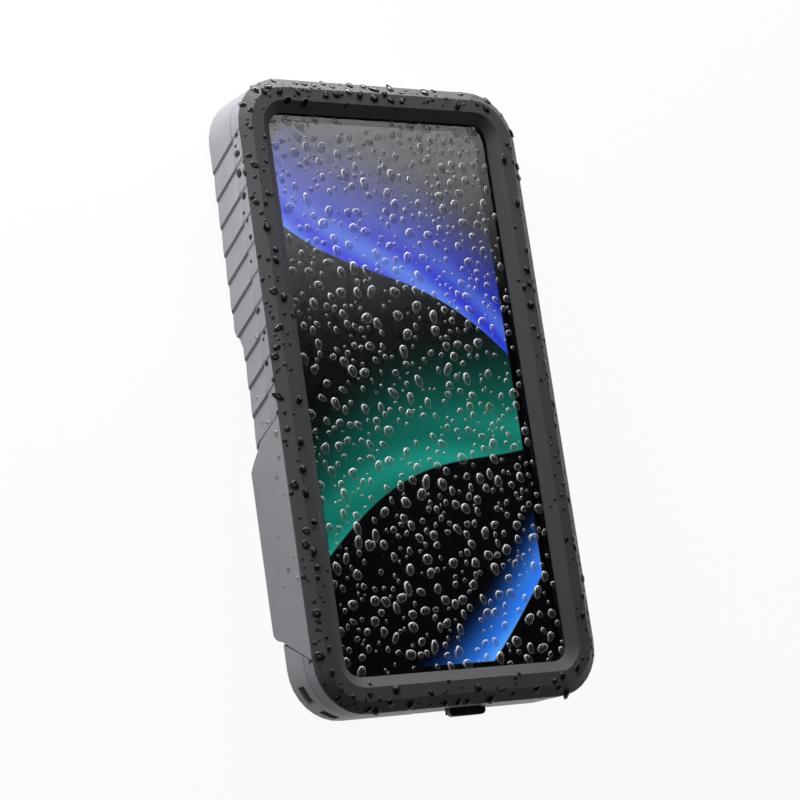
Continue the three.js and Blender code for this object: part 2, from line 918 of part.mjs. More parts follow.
// The rubber behind and round that cover: its rim, a plug for the port and the pull tab, moulded as one.
function portSeal() {
  const back = flapInner + gap + sealBase;
  const foot = flapPinHeight + flapBarrelRadius + gap;
  const rim = cut(
    prismY(arch(0, flapPinHeight), wallFace, back, FINE),
    prismY(
      arch(-sealRim, flapPinHeight - beyond),
      wallFace - beyond,
      back + beyond,
      FINE,
    ),
  );
  const base = cut(
    prismY(arch(0, flapPinHeight), flapInner + gap, back, FINE),
    box(
      [flapCentre - 2 * flapHalfWidth, flapInner, flapPinHeight - beyond],
      [flapCentre + 2 * flapHalfWidth, back + beyond, foot],
    ),
  );
  const plug = box(
    [flapCentre - portHalfWidth + gap, back - sealBase / 2, portBottom + gap],
    [flapCentre + portHalfWidth - gap, back + plugDepth, plugTop],
  );
  const root = box(
    [
      flapCentre - tabHalfWidth,
      wallFace - gap - tabThickness,
      flapTop - tabRootHeight,
    ],
    [flapCentre + tabHalfWidth, back, flapTop],
  ).intersect(
    prismY(arch(0, flapPinHeight), wallFace - tabReach, back, FINE),
  );
  const outline = roundedShape(tabHalfWidth, tabReach, tabRound);
  const grip = prismZ(outline, tabTop - tabThickness, tabTop)
    .translate([flapCentre, wallFace, 0])
    .subtract(
      box(
        [flapCentre - 2 * tabHalfWidth, wallFace - gap, tabTop - 2 * tabThickness],
        [flapCentre + 2 * tabHalfWidth, portInner, tabTop + beyond],
      ),
    );
  const tab = join(root, grip);
  const bore = barX(flapPinRadius + pinClearance, 3 * flapHalfWidth, [
    flapCentre,
    flapInner,
    flapPinHeight,
  ]);
  return cut(join(rim, base, plug, tab), bore);
}

function mountPlate() {
  const top = backHeight - gap;
  const plate = block(
    [plateWidth, plateLength, top],
    [0, plateCentre, 0],
    plateCorner,
    plateEdge,
  );
  const mouth = socketLip + overlap;
  const throat = barZ(socketThroat, -beyond, mouth, 0, plateCentre, ARC * 4);
  const chamber = barZ(
    socketRadius,
    socketLip,
    socketDepth,
    0,
    plateCentre,
    ARC * 4,
  );
  const entries = [];
  const pitch = 360 / socketTabs;
  for (let tab = 0; tab < socketTabs; tab++)
    entries.push(
      cornerSector(
        new THREE.Vector2(0, plateCentre),
        socketThroat - overlap,
        socketRadius,
        tab * pitch,
        tab * pitch + pitch - socketTabAngle,
        -beyond,
        mouth,
      ),
    );
  const seatDepth = screwSunk + screwHeadHeight + gap;
  const holes = plateScrews.flatMap((p) => [
    barZ(
      screwShankRadius + pinClearance,
      -beyond,
      top + beyond,
      p.x,
      p.y,
      ARC * 2,
    ),
    solid(
      new THREE.CylinderGeometry(
        screwShankRadius + pinClearance,
        screwHeadRadius + gap + screwSunk,
        seatDepth,
        ARC * 2,
      ),
      new THREE.Matrix4()
        .makeRotationX(Math.PI / 2)
        .setPosition(p.x, p.y, seatDepth / 2),
    ),
  ]);
  return cut(plate, throat, chamber, ...entries, ...holes);
}

// A countersunk screw that points up, its head sunk in the plate.
function plateScrew(place) {
  const profile = [
    new THREE.Vector2(0, 0),
    new THREE.Vector2(screwHeadRadius, 0),
    new THREE.Vector2(screwShankRadius, screwHeadHeight),
    new THREE.Vector2(screwShankRadius, screwLength - screwPoint),
    new THREE.Vector2(screwShankRadius - screwPoint, screwLength),
    new THREE.Vector2(0, screwLength),
  ];
  const turned = solid(
    new THREE.LatheGeometry(profile, ARC * 2),
    new THREE.Matrix4()
      .makeRotationX(Math.PI / 2)
      .setPosition(place.x, place.y, screwSunk),
  );
  const socket = barZ(
    driveRadius,
    screwSunk - beyond,
    screwSunk + driveDepth,
    place.x,
    place.y,
    6,
  );
  return cut(turned, socket);
}

function phoneBody() {
  const body = block(
    [phoneWidth, phoneLength, phoneThickness],
    [0, phoneCentre, phoneBottom],
    phoneCorner,
    phoneEdge,
    phoneFrontEdge,
  );
  const recess = block(
    [
      phoneWidth - 2 * displayBorder,
      phoneLength - 2 * displayBorder,
      displayThickness + gap + beyond,
    ],
    [0, phoneCentre, phoneTop - displayThickness - gap],
    phoneCorner - displayBorder,
  );
  return cut(body, recess);
}

const phoneDisplay = () =>
  block(
    [
      phoneWidth - 2 * (displayBorder + gap),
      phoneLength - 2 * (displayBorder + gap),
      displayThickness,
    ],
    [0, phoneCentre, phoneTop - displayThickness],
    phoneCorner - displayBorder - gap,
  );

const foamWidth = phoneWidth - 2 * foamInset;
const foamReach = phoneLength / 2 - foamInset;

function backFoam() {
  const low = phoneCentre - foamReach;
  const high = humpStart + shellWall - foamStepGap;
  const sheet = block(
    [foamWidth, high - low, foamThickness],
    [0, (low + high) / 2, floorTop + gap],
    phoneCorner,
  );
  const holes = plateScrews.map((p) =>
    barZ(bossRadius + gap, floorTop, foamTop + beyond, p.x, p.y),
  );
  return cut(sheet, ...holes);
}

function humpFoam() {
  const low = humpStart + shellWall + foamStepGap;
  const high = phoneCentre + foamReach;
  const bottom = humpHeight + floorThickness + gap;
  return block(
    [foamWidth, high - low, foamTop - bottom],
    [0, (low + high) / 2, bottom],
    cornerRadius - cavityInset - pocketInset,
  );
}

const sidePad = (side, end) =>
  block(
    [sidePadWidth, sidePadLength, padHeight],
    [
      side * (phoneWidth / 2 + gap + sidePadWidth / 2),
      end * (phoneLength / 2 - sidePadInset),
      floorTop + gap,
    ],
    padCorner,
  );

const topPad = (side) =>
  block(
    [topPadWidth, topPadLength, padHeight],
    [
      side * (phoneWidth / 2 - topPadInset),
      phoneCentre + phoneLength / 2 + gap + topPadLength / 2,
      floorTop + gap,
    ],
    padCorner,
  );

const part = new THREE.Group();
const right = hingeX + knuckleRadius;
const bottom = wallFace - tabReach;
part.position.set((halfWidth - right) / 2, -(halfLength + bottom) / 2, 0);

function add(parent, name, made, material) {
  const data = made.getMesh();
  const geometry = new THREE.BufferGeometry();
  geometry.setAttribute(
    "position",
    new THREE.BufferAttribute(new Float32Array(data.vertProperties), 3),
  );
  geometry.setIndex(new THREE.BufferAttribute(data.triVerts, 1));
  geometry.computeVertexNormals();
  const mesh = new THREE.Mesh(geometry, material);
  mesh.name = name;
  parent.add(mesh);
}

const shellGroup = new THREE.Group();
add(shellGroup, "rear_shell", rearShell(), shellPlastic);
add(shellGroup, "mount_plate", mountPlate(), framePlastic);
plateScrews.forEach((place, i) =>
  add(shellGroup, `mount_screw_${i + 1}`, plateScrew(place), steel),
);
add(shellGroup, "rim_gasket", gasket(), blackRubber);
["upper", "lower"].forEach((name, i) =>
  add(
    shellGroup,
    `hinge_pin_${name}`,
    barY(hingePinRadius, hingePinLength, [hingeX, hingePlaces[i], hingeZ]),
    steel,
  ),
);
add(
  shellGroup,
  "clasp_pin",
  barY(claspPinRadius, claspFootTop - claspFootEnd, [
    claspPinX,
    claspMiddle,
    claspPinZ,
  ]),
  steel,
);
add(
  shellGroup,
  "flap_pin",
  barX(flapPinRadius, 2 * (flapHalfWidth + flapPinGrip), [
    flapCentre,
    flapInner,
    flapPinHeight,
  ]),
  steel,
);

const foamGroup = new THREE.Group();
add(foamGroup, "back_foam", backFoam(), foam);
add(foamGroup, "hump_foam", humpFoam(), foam);
for (const [side, sideName] of [
  [-1, "left"],
  [1, "right"],
])
  for (const [end, endName] of [
    [1, "upper"],
    [-1, "lower"],
  ]) {
    add(
      foamGroup,
      `side_pad_${sideName}_${endName}`,
      sidePad(side, end),
      foam,
    );
    if (end > 0)
      add(
        foamGroup,
        `top_pad_${sideName}`,
        topPad(side),
        foam,
      );
  }
shellGroup.add(foamGroup);

const phoneGroup = new THREE.Group();
add(phoneGroup, "phone_body", phoneBody(), phoneShell);
add(phoneGroup, "phone_display", phoneDisplay(), displayGlass);
shellGroup.add(phoneGroup);

const frameGroup = new THREE.Group();
add(frameGroup, "front_frame", frontFrame(), framePlastic);
add(frameGroup, "window_panel", windowPanel(), clearPanel);
add(frameGroup, "window_retainer", windowRetainer(), framePlastic);

const claspGroup = new THREE.Group();
add(claspGroup, "side_clasp", sideClasp(), shellPlastic);

const flapGroup = new THREE.Group();
add(flapGroup, "port_flap", portFlap(), shellPlastic);
add(flapGroup, "port_seal", portSeal(), blackRubber);

part.add(shellGroup, frameGroup, claspGroup, flapGroup);

export default part;
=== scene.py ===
"""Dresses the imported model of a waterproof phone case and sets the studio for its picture."""

import logging
import math
import random
from dataclasses import dataclass, field
from enum import Enum
from typing import Callable, Iterable, Sequence, Union

import bmesh
import bpy
from mathutils import Matrix, Vector
from mathutils.bvhtree import BVHTree


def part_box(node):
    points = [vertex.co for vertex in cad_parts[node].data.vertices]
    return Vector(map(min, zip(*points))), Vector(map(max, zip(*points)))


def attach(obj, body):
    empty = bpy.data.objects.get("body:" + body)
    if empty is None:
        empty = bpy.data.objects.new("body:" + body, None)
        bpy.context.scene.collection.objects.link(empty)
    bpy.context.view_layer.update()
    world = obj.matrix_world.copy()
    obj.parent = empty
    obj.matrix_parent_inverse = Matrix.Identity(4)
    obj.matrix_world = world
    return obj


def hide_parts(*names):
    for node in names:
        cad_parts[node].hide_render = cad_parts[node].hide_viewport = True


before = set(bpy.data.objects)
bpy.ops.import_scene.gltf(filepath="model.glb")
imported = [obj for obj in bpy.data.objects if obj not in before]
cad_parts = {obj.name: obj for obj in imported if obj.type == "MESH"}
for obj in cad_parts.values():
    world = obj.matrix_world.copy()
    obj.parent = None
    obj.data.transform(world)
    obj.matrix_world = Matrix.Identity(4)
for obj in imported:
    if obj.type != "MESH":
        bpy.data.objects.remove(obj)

log = logging.getLogger("phone_case")

MM = 0.001
DROP_MAP = "drop_map"
FRAME_WIDTH_MM = 96.0
WATER_INDEX = 1.333

Colour = tuple[float, float, float, float]
Number = Union[float, "Expr"]


def grey(level: float, blue: float = 0.0) -> Colour:
    """A linear grey, a little bluer by the given share."""
    return (level, level, level * (1 + blue), 1.0)


class Body(Enum):
    """The moving bodies of the case."""

    SHELL = "shell"
    FRAME = "frame"
    CLASP = "clasp"
    FLAP = "flap"


class Slot(Enum):
    """Names of material slots for the new pieces."""

    SHELL = "shell_plastic"
    FRAME = "frame_plastic"
    WINDOW = "clear_window"
    RUBBER = "black_rubber"


class Expr:
    """A node's output whose arithmetic adds Math nodes."""

    def __init__(self, graph: "Graph", socket: bpy.types.NodeSocket) -> None:
        """Wraps a socket.

        Args:
            graph: the node tree's builder.
            socket: the output that this value stands for.
        """
        self.graph = graph
        self.socket = socket

    def _math(self, operation: str, *values: Number) -> "Expr":
        """One Math node on the given values."""
        return self.graph.math(operation, *values)

    def __add__(self, other: Number) -> "Expr":
        """Sum."""
        return self._math("ADD", self, other)

    def __radd__(self, other: Number) -> "Expr":
        """Sum with a number on the left."""
        return self._math("ADD", other, self)

    def __sub__(self, other: Number) -> "Expr":
        """Difference."""
        return self._math("SUBTRACT", self, other)

    def __rsub__(self, other: Number) -> "Expr":
        """Difference from a number on the left."""
        return self._math("SUBTRACT", other, self)

    def __mul__(self, other: Number) -> "Expr":
        """Product."""
        return self._math("MULTIPLY", self, other)

    def __rmul__(self, other: Number) -> "Expr":
        """Product with a number on the left."""
        return self._math("MULTIPLY", other, self)

    def __pow__(self, other: Number) -> "Expr":
        """Power."""
        return self._math("POWER", self, other)


class Graph:
    """Builds one node tree."""

    def __init__(self, tree: bpy.types.NodeTree) -> None:
        """Starts from an empty node tree.

        Args:
            tree: the tree, which is cleared.
        """
        self.tree = tree
        self.tree.nodes.clear()

    def node(self, kind: str, settings: dict | None = None, **inputs: object) -> bpy.types.Node:
        """Adds a node.

        Args:
            kind: the node's type.
            settings: its properties, set before its sockets.
            inputs: values or links by socket name, with _ for a space, or by i and the
                number of the socket's place.

        Returns:
            The new node.
        """
        made = self.tree.nodes.new(kind)
        for key, value in (settings or {}).items():
            if key == "stops":
                self._stops(made, value)
            else:
                setattr(made, key, value)
        for key, value in inputs.items():
            numbered = key[0] == "i" and key[1:].isdigit()
            place = int(key[1:]) if numbered else key.replace("_", " ")
            self._feed(made.inputs[place], value)
        return made

    def _feed(self, socket: bpy.types.NodeSocket, value: object) -> None:
        """Links a value into a socket, or sets it."""
        if isinstance(value, Expr):
            self.tree.links.new(value.socket, socket)
        elif isinstance(value, bpy.types.NodeSocket):
            self.tree.links.new(value, socket)
        else:
            socket.default_value = value

    @staticmethod
    def _stops(ramp: bpy.types.Node, stops: Sequence[tuple[float, Colour]]) -> None:
        """Sets a colour ramp's stops."""
        elements = ramp.color_ramp.elements
        while len(elements) < len(stops):
            elements.new(0.5)
        for element, (place, colour) in zip(elements, stops):
            element.position = place
            element.color = colour

    def math(self, operation: str, *values: Number) -> Expr:
        """One Math node.

        Args:
            operation: the node's operation.
            values: its inputs.

        Returns:
            The result.
        """
        inputs = {f"i{place}": value for place, value in enumerate(values)}
        made = self.node("ShaderNodeMath", {"operation": operation}, **inputs)
        return Expr(self, made.outputs[0])

    def clamp(self, value: Number) -> Expr:
        """A value held between 0 and 1."""
        return Expr(self, self.node("ShaderNodeClamp", Value=value).outputs[0])

    def smooth(self, value: Number, low: float, high: float) -> Expr:
        """A smooth step of a value from 0 at low to 1 at high."""
        made = self.node(
            "ShaderNodeMapRange",
            {"interpolation_type": "SMOOTHSTEP"},
            Value=value,
            From_Min=low,
            From_Max=high,
        )
        return Expr(self, made.outputs[0])

    def seen(self) -> Expr:
        """1 for the rays that show the backdrop, straight on or in gloss and glass, and else 0."""
        path = self.node("ShaderNodeLightPath").outputs
        camera, glossy, through = (
            Expr(self, path[kind]) for kind in ("Is Camera Ray", "Is Glossy Ray", "Is Transmission Ray")
        )
        return self.clamp(camera + glossy + through)

    def mix(self, share: Number, first: object, second: object) -> bpy.types.NodeSocket:
        """A colour between two, by share."""
        made = self.node("ShaderNodeMix", {"data_type": "RGBA"}, i0=share, i6=first, i7=second)
        return made.outputs[2]


class Shader(Graph):
    """Builds one procedural material."""

    def __init__(self, name: str) -> None:
        """Starts an empty material.

        Args:
            name: the material's name.
        """
        self.material = bpy.data.materials.new(name)
        self.material.use_nodes = True
        super().__init__(self.material.node_tree)

    def position(self) -> tuple[Expr, Expr, Expr]:
        """The object coordinates in millimetres, as three values."""
        where = self.node("ShaderNodeTexCoord").outputs["Object"]
        parts = self.node("ShaderNodeSeparateXYZ", i0=where).outputs
        x, y, z = (Expr(self, part) * (1 / MM) for part in parts)
        return x, y, z

    def noise(self, per_mm: float, detail: float = 2.0, roughness: float = 0.5) -> Expr:
        """Noise on object coordinates.

        Args:
            per_mm: features for each millimetre.
            detail: octaves.
            roughness: the weight of the finer octaves.

        Returns:
            A value about 0.5.
        """
        where = self.node("ShaderNodeTexCoord").outputs["Object"]
        made = self.node(
            "ShaderNodeTexNoise",
            Vector=where,
            Scale=per_mm / MM,
            Detail=detail,
            Roughness=roughness,
        )
        return Expr(self, made.outputs[0])

    def bump(self, height: Number, strength: float, distance_mm: float) -> bpy.types.NodeSocket:
        """A bumped normal."""
        made = self.node("ShaderNodeBump", Strength=strength, Distance=distance_mm * MM, Height=height)
        return made.outputs[0]

    def sheen(self, index: float) -> Expr:
        """The share of light that a clear piece mirrors, on its outer faces alone.

        Args:
            index: the refractive index.

        Returns:
            The share, which is 0 where a ray leaves the piece.
        """
        fresnel = Expr(self, self.node("ShaderNodeFresnel", IOR=index).outputs[0])
        leaving = Expr(self, self.node("ShaderNodeNewGeometry").outputs["Backfacing"])
        return fresnel * (1.0 - leaving)

    def principled(self, **inputs: object) -> bpy.types.Node:
        """The main shader."""
        return self.node("ShaderNodeBsdfPrincipled", **inputs)

    def finish(self, surface: bpy.types.Node) -> bpy.types.Material:
        """Links the surface to the output and returns the material."""
        self.node("ShaderNodeOutputMaterial", Surface=surface.outputs[0])
        return self.material


def box_distance(shader: Shader, x: Expr, y: Expr, centre: Vector, half: Vector, radius: float) -> Expr:
    """The distance in millimetres outside a rounded rectangle, negative inside.

    Args:
        shader: the material's builder.
        x: the point's X.
        y: the point's Y.
        centre: the rectangle's middle.
        half: its half sizes.
        radius: its corner radius.

    Returns:
        The signed distance.
    """
    qx = shader.math("ABSOLUTE", x - centre.x) - (half.x - radius)
    qy = shader.math("ABSOLUTE", y - centre.y) - (half.y - radius)
    outside_x = shader.math("MAXIMUM", qx, 0.0)
    outside_y = shader.math("MAXIMUM", qy, 0.0)
    outside = shader.math("SQRT", outside_x * outside_x + outside_y * outside_y)
    inside = shader.math("MINIMUM", shader.math("MAXIMUM", qx, qy), 0.0)
    return outside + inside - radius


@dataclass(frozen=True)
class MouldedPlastic:
    """Satin moulded plastic with a fine spark-eroded grain."""

    name: str
    colour: Colour
    roughness: float = 0.46
    index: float = 1.4
    grain_per_mm: float = 3.2
    grain_depth_mm: float = 0.012
    mottle: float = 0.12

    def tint(self, shader: Shader) -> bpy.types.NodeSocket:
        """The base colour with its slight cloudiness.

        Args:
            shader: the material's builder.

        Returns:
            A colour socket.
        """
        dark = tuple(c * (1 - self.mottle) for c in self.colour[:3]) + (1.0,)
        light = tuple(c * (1 + self.mottle) for c in self.colour[:3]) + (1.0,)
        return shader.mix(shader.noise(0.05, 3.0), dark, light)

    def build(self) -> bpy.types.Material:
        """Makes the material."""
        shader = Shader(self.name)
        return self.finish(shader, self.tint(shader))

    def finish(self, shader: Shader, colour: bpy.types.NodeSocket) -> bpy.types.Material:
        """Adds the grain and the gloss to a colour.

        Args:
            shader: the material's builder.
            colour: the base colour's socket.

        Returns:
            The material.
        """
        grain = shader.noise(self.grain_per_mm, 2.0, 0.6)
        rough = self.roughness + (shader.noise(0.35, 3.0) - 0.5) * 0.12
        surface = shader.principled(
            Base_Color=colour,
            Roughness=rough,
            Normal=shader.bump(grain, 0.5, self.grain_depth_mm),
            IOR=self.index,
        )
        return shader.finish(surface)


@dataclass(frozen=True)
class FramePlastic(MouldedPlastic):
    """The frame's charcoal plastic, whose skirt below the crease near the outer edge is painted in the
    shell's lighter grey: painted light for the side faces that the lamps light.
    """

    skirt: Colour = grey(0.2)
    crease_mm: float = 18.9
    crease_blend_mm: float = 0.12
    outer_band_mm: tuple[float, float] = (-2.6, -2.2)
    centre: tuple[float, float] = (0.0, 0.0)
    half: tuple[float, float] = (FRAME_WIDTH_MM / 2, 90.5)
    radius: float = 15.0

    def build(self) -> bpy.types.Material:
        """Makes the material."""
        shader = Shader(self.name)
        x, y, z = shader.position()
        edge = box_distance(shader, x, y, Vector(self.centre), Vector(self.half), self.radius)
        blend = self.crease_blend_mm
        # Painted light: below the crease and near the outer edge, the side faces take the lighter grey in
        # place of the light they catch.
        low = 1.0 - shader.smooth(z, self.crease_mm - blend, self.crease_mm + blend)
        lit_side_band = shader.smooth(edge, *self.outer_band_mm)
        colour = shader.mix(low * lit_side_band, self.tint(shader), self.skirt)
        return self.finish(shader, colour)


@dataclass(frozen=True)
class Rubber:
    """Smooth black rubber."""

    name: str = "black_rubber"
    colour: Colour = grey(0.012)
    roughness: float = 0.38

    def build(self) -> bpy.types.Material:
        """Makes the material."""
        shader = Shader(self.name)
        cloud = shader.noise(0.4, 3.0)
        colour = shader.mix(cloud, grey(self.colour[0] * 0.7), grey(self.colour[0] * 1.4))
        surface = shader.principled(
            Base_Color=colour,
            Roughness=self.roughness + (cloud - 0.5) * 0.2,
            Normal=shader.bump(shader.noise(1.5, 2.0), 0.4, 0.02),
        )
        return shader.finish(surface)


@dataclass(frozen=True)
class Steel:
    """Turned stainless steel."""

    name: str = "stainless_steel"
    colour: Colour = grey(0.56)
    roughness: float = 0.28

    def build(self) -> bpy.types.Material:
        """Makes the material."""
        shader = Shader(self.name)
        streak = shader.noise(2.5, 4.0, 0.7)
        surface = shader.principled(
            Base_Color=shader.mix(streak, grey(self.colour[0] * 0.85), grey(self.colour[0] * 1.1)),
            Metallic=1.0,
            Roughness=self.roughness + (streak - 0.5) * 0.2,
            Normal=shader.bump(streak, 0.3, 0.01),
        )
        return shader.finish(surface)


@dataclass(frozen=True)
class Foam:
    """Closed-cell foam with visible pores."""

    name: str = "closed_cell_foam"
    colour: Colour = grey(0.03)

    def build(self) -> bpy.types.Material:
        """Makes the material."""
        shader = Shader(self.name)
        where = shader.node("ShaderNodeTexCoord").outputs["Object"]
        cells = shader.node("ShaderNodeTexVoronoi", Vector=where, Scale=1.6 / MM)
        pores = Expr(shader, cells.outputs["Distance"])
        surface = shader.principled(
            Base_Color=shader.mix(pores, grey(self.colour[0] * 0.5), grey(self.colour[0] * 1.5)),
            Roughness=0.95,
            Normal=shader.bump(pores, 0.8, 0.15),
        )
        return shader.finish(surface)


@dataclass(frozen=True)
class PhoneMetal:
    """Dark anodised aluminium."""

    name: str = "phone_metal"

    def build(self) -> bpy.types.Material:
        """Makes the material."""
        shader = Shader(self.name)
        grain = shader.noise(6.0, 2.0)
        surface = shader.principled(
            Base_Color=shader.mix(grain, (0.03, 0.033, 0.04, 1.0), (0.05, 0.054, 0.065, 1.0)),
            Metallic=0.8,
            Roughness=0.34 + (grain - 0.5) * 0.1,
            Normal=shader.bump(grain, 0.2, 0.01),
        )
        return shader.finish(surface)


@dataclass(frozen=True)
class ClearWindow:
    """Clear hard-coated plastic, which mirrors a little and is otherwise seen through."""

    name: str = "clear_window"
    tint: Colour = (0.94, 0.96, 0.98, 1.0)
    index: float = 1.5
    roughness: float = 0.05

    def build(self) -> bpy.types.Material:
        """Makes the material."""
        shader = Shader(self.name)
        film = shader.noise(0.03, 2.0)
        through = shader.node("ShaderNodeBsdfTransparent", Color=self.tint)
        gloss = shader.node(
            "ShaderNodeBsdfGlossy",
            Color=grey(1.0),
            Roughness=self.roughness,
            Normal=shader.bump(film, 0.02, 0.4),
        )
        share = shader.sheen(self.index)
        surface = shader.node("ShaderNodeMixShader", i0=share, i1=through.outputs[0], i2=gloss.outputs[0])
        return shader.finish(surface)


@dataclass(frozen=True)
class Water:
    """Clear water: a see-through middle, and a pale ring that is brightest on its lower side, painted
    light for what the drop refracts and mirrors.

    The ring follows the drop's own map, whose U runs from its middle to its edge and whose V
    runs from its upper side to its lower one.
    """

    name: str = "water"
    painted_ring_colour: Colour = grey(0.75)
    painted_ring_strength: float = 0.66
    upper: float = 0.3
    middle: float = 0.02
    tint: Colour = grey(0.85)
    ring_start: tuple[float, float] = (0.72, 0.88)
    ring_end: tuple[float, float] = (0.94, 1.04)
    lower_side: tuple[float, float] = (0.3, 0.95)
    ragged_edge: float = 0.3
    ragged_arc: float = 0.7
    roughness: float = 0.08

    def build(self) -> bpy.types.Material:
        """Makes the material."""
        shader = Shader(self.name)
        where = shader.node("ShaderNodeUVMap", {"uv_map": DROP_MAP}).outputs[0]
        parts = shader.node("ShaderNodeSeparateXYZ", i0=where).outputs
        across, lower = Expr(shader, parts[0]), Expr(shader, parts[1])
        cloud = shader.noise(0.9, 2.0)
        edge = across + (cloud - 0.5) * self.ragged_edge
        band = shader.smooth(edge, *self.ring_start) * (1.0 - shader.smooth(edge, *self.ring_end))
        strength = shader.smooth(lower + (cloud - 0.5) * self.ragged_arc, *self.lower_side)
        painted_light_arc = band * (strength * (1.0 - self.upper) + self.upper)
        # Painted light: a diffuse pale ring, brightest on the lower side, stands in for the light the drop
        # bends and mirrors at its edge.
        share = shader.clamp(painted_light_arc * self.painted_ring_strength + self.middle)
        clear = shader.node("ShaderNodeBsdfTransparent", Color=self.tint)
        pale = shader.node("ShaderNodeBsdfDiffuse", Color=self.painted_ring_colour)
        body = shader.node("ShaderNodeMixShader", i0=share, i1=clear.outputs[0], i2=pale.outputs[0])
        gloss = shader.node("ShaderNodeBsdfGlossy", Color=grey(1.0), Roughness=self.roughness)
        shine = shader.sheen(WATER_INDEX)
        surface = shader.node("ShaderNodeMixShader", i0=shine, i1=body.outputs[0], i2=gloss.outputs[0])
        return shader.finish(surface)


@dataclass(frozen=True)
class DarkWater:
    """Water on black plastic, drawn as opaque near-black gloss with a few glints: the black is painted
    shade for the dark plastic and dark surroundings seen through and mirrored in the clear water, and
    partly the real darkening where it wets the grain.
    """

    name: str = "dark_water"
    colour: Colour = grey(0.006)

    def build(self) -> bpy.types.Material:
        """Makes the material."""
        shader = Shader(self.name)
        # Painted shade: the near-black base colour stands in for the dark view through and in the clear
        # drop.
        surface = shader.principled(
            Base_Color=shader.mix(shader.noise(0.5, 1.0), self.colour, grey(self.colour[0] * 2)),
            Roughness=0.04,
            IOR=WATER_INDEX,
            Normal=shader.bump(shader.noise(0.7, 1.0), 0.2, 0.1),
        )
        return shader.finish(surface)


@dataclass(frozen=True)
class Ribbon:
    """One soft ribbon of light on the display: a wavy band, crisp on its lower edge and fading upwards."""

    colour: Colour
    bright: Colour
    level: float
    slope: float
    wave: float
    length: float
    phase: float
    strength: float
    thickness: float


@dataclass(frozen=True)
class Display:
    """The lit display: a black border round a dark field that wavy ribbons cross."""

    name: str = "lit_display"
    centre: tuple[float, float] = (0.0, 0.0)
    half: tuple[float, float] = (36.0, 78.0)
    radius: float = 6.0
    ribbons: tuple[Ribbon, ...] = (
        Ribbon(
            (0.025, 0.045, 0.75, 1.0), (0.13, 0.25, 0.9, 1.0), 30.0, -0.75, 9.0, 0.05, 0.4, 0.9, 46.0
        ),
        Ribbon(
            (0.004, 0.17, 0.12, 1.0), (0.012, 0.3, 0.22, 1.0), -30.0, 0.55, 10.0, 0.045, 2.2, 1.0, 44.0
        ),
        Ribbon(
            (0.03, 0.22, 0.95, 1.0), (0.1, 0.38, 1.0, 1.0), -84.0, 0.9, 5.0, 0.06, 4.1, 1.0, 22.0
        ),
    )

    def build(self) -> bpy.types.Material:
        """Makes the material."""
        shader = Shader(self.name)
        x, y, _ = shader.position()
        edge = box_distance(shader, x, y, Vector(self.centre), Vector(self.half), self.radius)
        lit = 1.0 - shader.smooth(edge, -0.15, 0.15)
        colour: object = (0.0, 0.0, 0.0, 1.0)
        for ribbon in self.ribbons:
            wave = shader.math("SINE", x * ribbon.length + ribbon.phase) * ribbon.wave
            above = y - (wave + x * ribbon.slope + ribbon.level)
            crisp = shader.smooth(above, -0.2, 0.3)
            fade = 1.0 - shader.smooth(above, 0.0, ribbon.thickness)
            share = crisp * (fade ** 1.6) * ribbon.strength
            streak = shader.math("SINE", above * 0.45 + x * 0.12) * 0.5 + 0.5
            own = shader.mix((fade ** 4.0) * streak, ribbon.colour, ribbon.bright)
            colour = shader.mix(share, colour, own)
        glow = shader.mix(lit, (0.0, 0.0, 0.0, 1.0), colour)
        surface = shader.principled(
            Base_Color=(0.004, 0.004, 0.005, 1.0),
            Roughness=0.12,
            Emission_Color=glow,
            Emission_Strength=1.0,
        )
        return shader.finish(surface)


@dataclass(frozen=True)
class PaleFloor:
    """A plain white floor that keeps a soft shadow."""

    name: str = "pale_floor"
    colour: Colour = grey(0.85)
    glow: float = 0.93

    def build(self) -> bpy.types.Material:
        """Makes the material."""
        shader = Shader(self.name)
        diffuse = shader.node("ShaderNodeBsdfDiffuse", Color=self.colour)
        light = shader.node("ShaderNodeEmission", Color=grey(1.0), Strength=1.0)
        surface = shader.node(
            "ShaderNodeMixShader",
            i0=shader.seen() * self.glow,
            i1=diffuse.outputs[0],
            i2=light.outputs[0],
        )
        return shader.finish(surface)


def link_mesh(name: str, mesh: bmesh.types.BMesh) -> bpy.types.Object:
    """Turns a bmesh into an object at the origin.

    Args:
        name: the piece's name.
        mesh: its mesh, which is freed.

    Returns:
        The object.
    """
    data = bpy.data.meshes.new(name)
    mesh.to_mesh(data)
    mesh.free()
    made = bpy.data.objects.new(name, data)
    bpy.context.scene.collection.objects.link(made)
    return made


